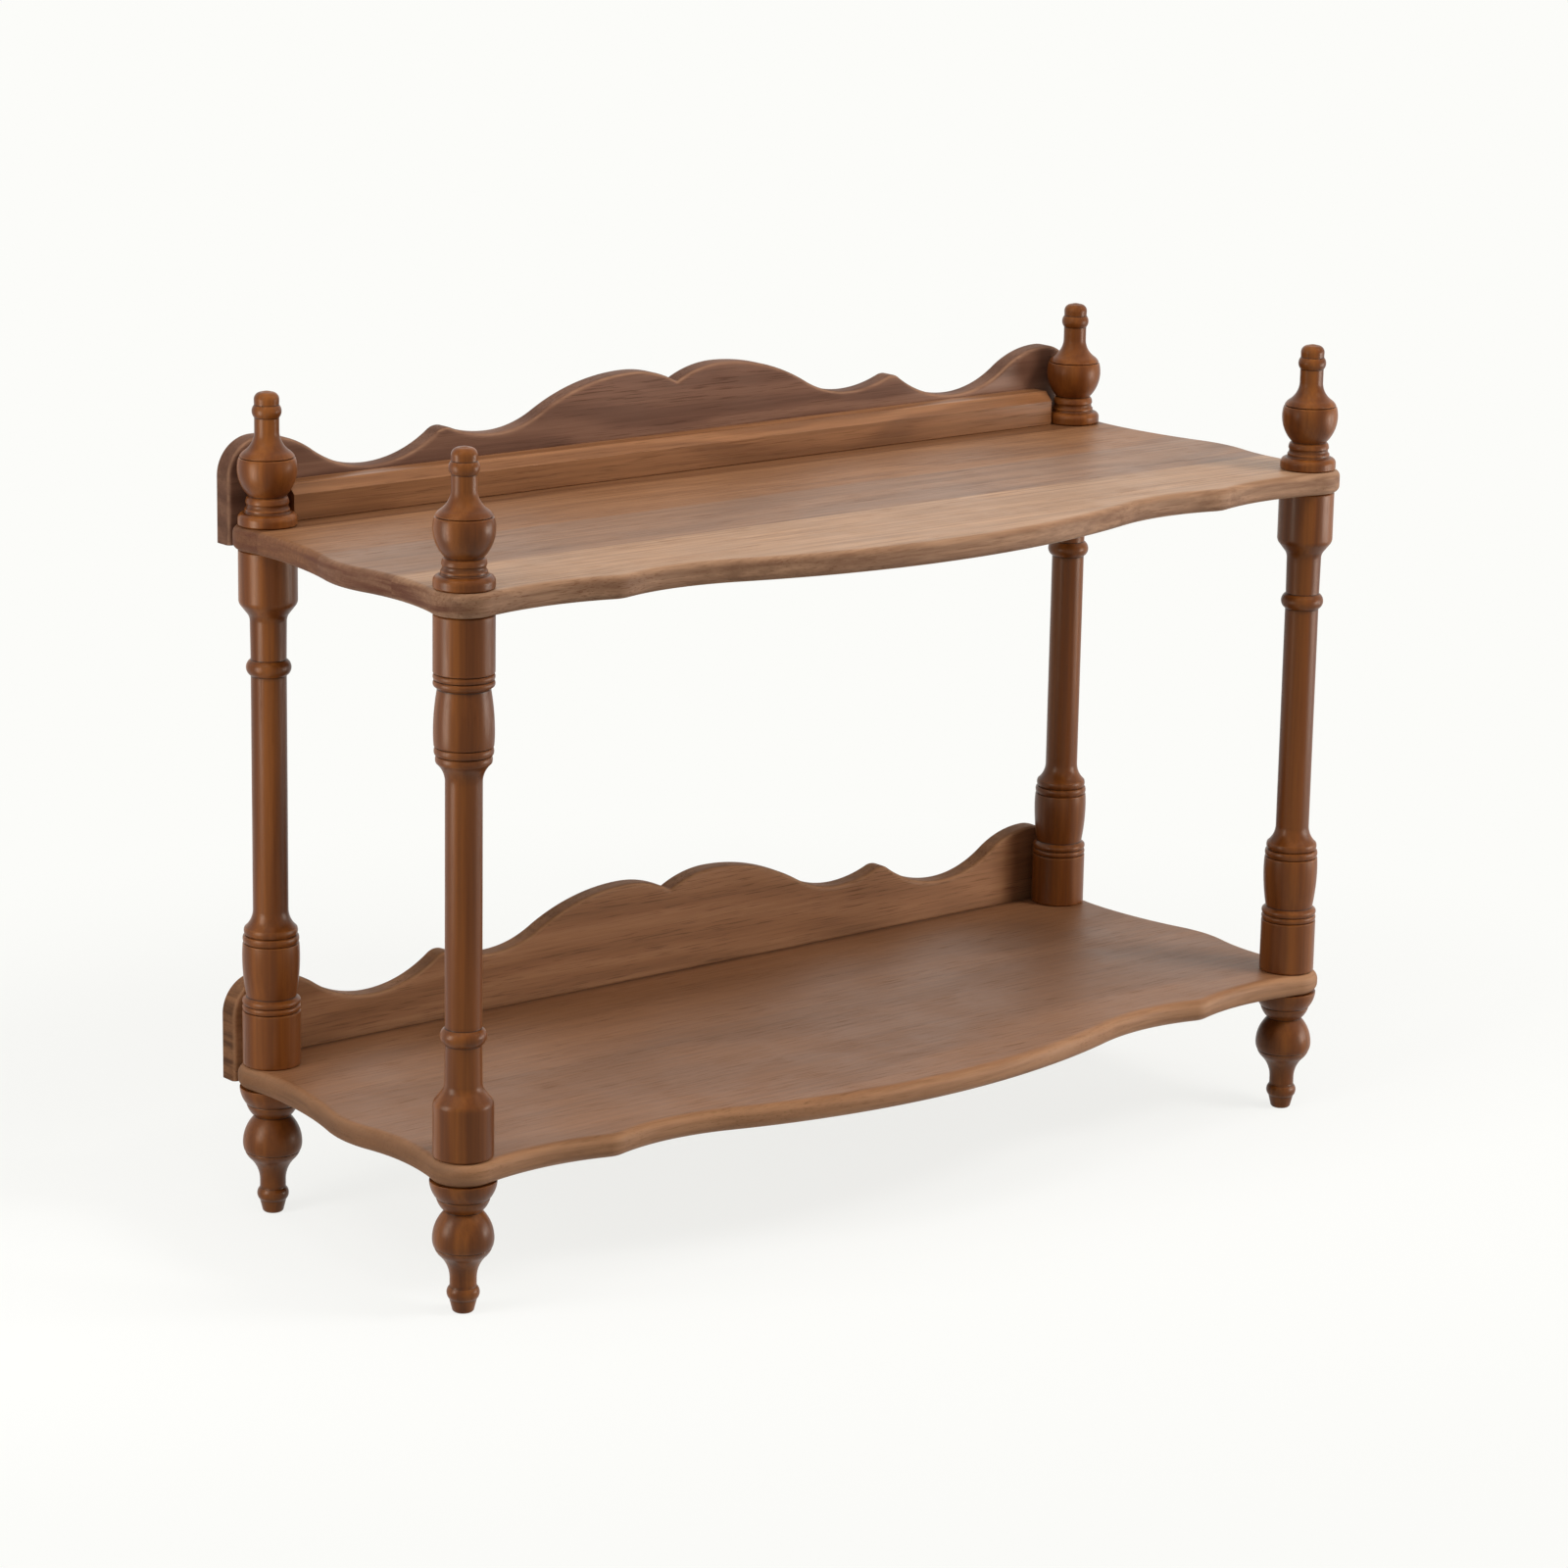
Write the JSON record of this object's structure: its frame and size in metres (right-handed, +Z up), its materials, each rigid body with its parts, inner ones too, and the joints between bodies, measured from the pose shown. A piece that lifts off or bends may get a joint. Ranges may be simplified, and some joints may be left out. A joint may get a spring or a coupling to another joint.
{
  "type": "tabletop shelf",
  "caption": "Tiered tabletop shelf: serpentine shelves with rounded edges on turned posts, scalloped back boards, urn finials and turned feet, for small things on a desk.",
  "frame": {"origin": "on the surface it stands on, under the middle of its box", "axes": "+X along the length to the right seen from the front, +Y to the back, +Z up"},
  "size_m": [0.595, 0.2496, 0.43],
  "materials": {
    "turned_wood": "satin",
    "shelf_wood": "satin",
    "board_wood": "satin",
    "rail_wood": "satin",
    "zinc_steel": "satin",
    "insert_brass": "satin"
  },
  "bodies": {
    "root": {"lower_shelf": "shelf_wood", "upper_shelf": "shelf_wood", "upper_back_board": "board_wood", "lower_back_board": "board_wood", "gallery_rail": "rail_wood", "front_left_post": "turned_wood", "front_left_foot": "turned_wood", "front_left_finial": "turned_wood", "front_right_post": "turned_wood", "front_right_foot": "turned_wood", "front_right_finial": "turned_wood", "back_left_post": "turned_wood", "back_left_foot": "turned_wood", "back_left_finial": "turned_wood", "back_right_post": "turned_wood", "back_right_foot": "turned_wood", "back_right_finial": "turned_wood", "finial_studs": "zinc_steel", "foot_studs": "zinc_steel", "post_top_inserts": "insert_brass", "post_bottom_inserts": "insert_brass", "upper_back_board_screws": "zinc_steel", "lower_back_board_screws": "zinc_steel", "gallery_rail_screws": "zinc_steel"}
  },
  "joints": []
}
